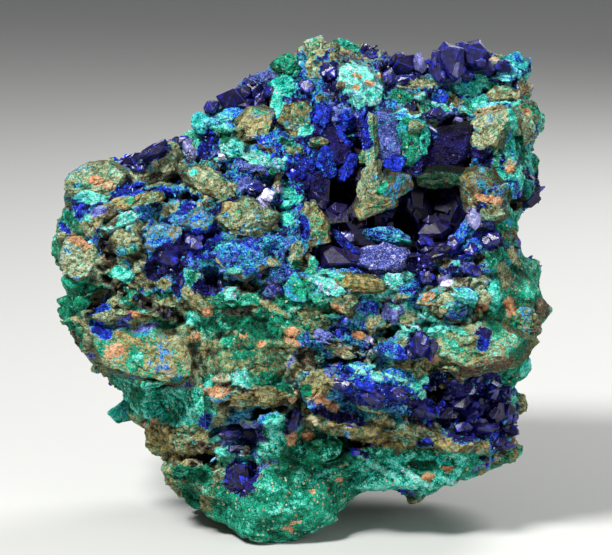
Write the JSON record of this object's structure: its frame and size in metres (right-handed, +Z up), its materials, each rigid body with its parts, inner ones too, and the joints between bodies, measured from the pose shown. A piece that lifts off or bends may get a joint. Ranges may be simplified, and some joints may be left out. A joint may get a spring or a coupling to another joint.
{
  "type": "azurite specimen",
  "caption": "Rugged mineral specimen: gossan rock with malachite, a crystal-lined hollow and dark blue azurite crystals, standing on a flat foot.",
  "frame": {"origin": "on the flat base under the rock, below the middle of its width", "axes": "+Z up, +X along the rock's width to the viewer's right, -Y towards the display face with the crystal-lined hollow"},
  "size_m": [0.0906, 0.0644, 0.0871],
  "materials": {
    "gossan": "rough weathered gossan, tan to olive, with green malachite and blue azurite druse",
    "azurite_crust": "glossy dark indigo azurite crystals lining the hollow",
    "azurite": "glossy dark indigo azurite crystals with bright blue edges"
  },
  "bodies": {
    "root": {"rock": "gossan", "vug_crust": "azurite_crust", "azurite_lower_right": "azurite", "azurite_on_foot": "azurite", "azurite_slab": "azurite", "azurite_right_edge": "azurite", "azurite_top_rim": "azurite", "azurite_top_notch": "azurite", "azurite_shoulder": "azurite", "azurite_left_ridge": "azurite"}
  },
  "joints": []
}
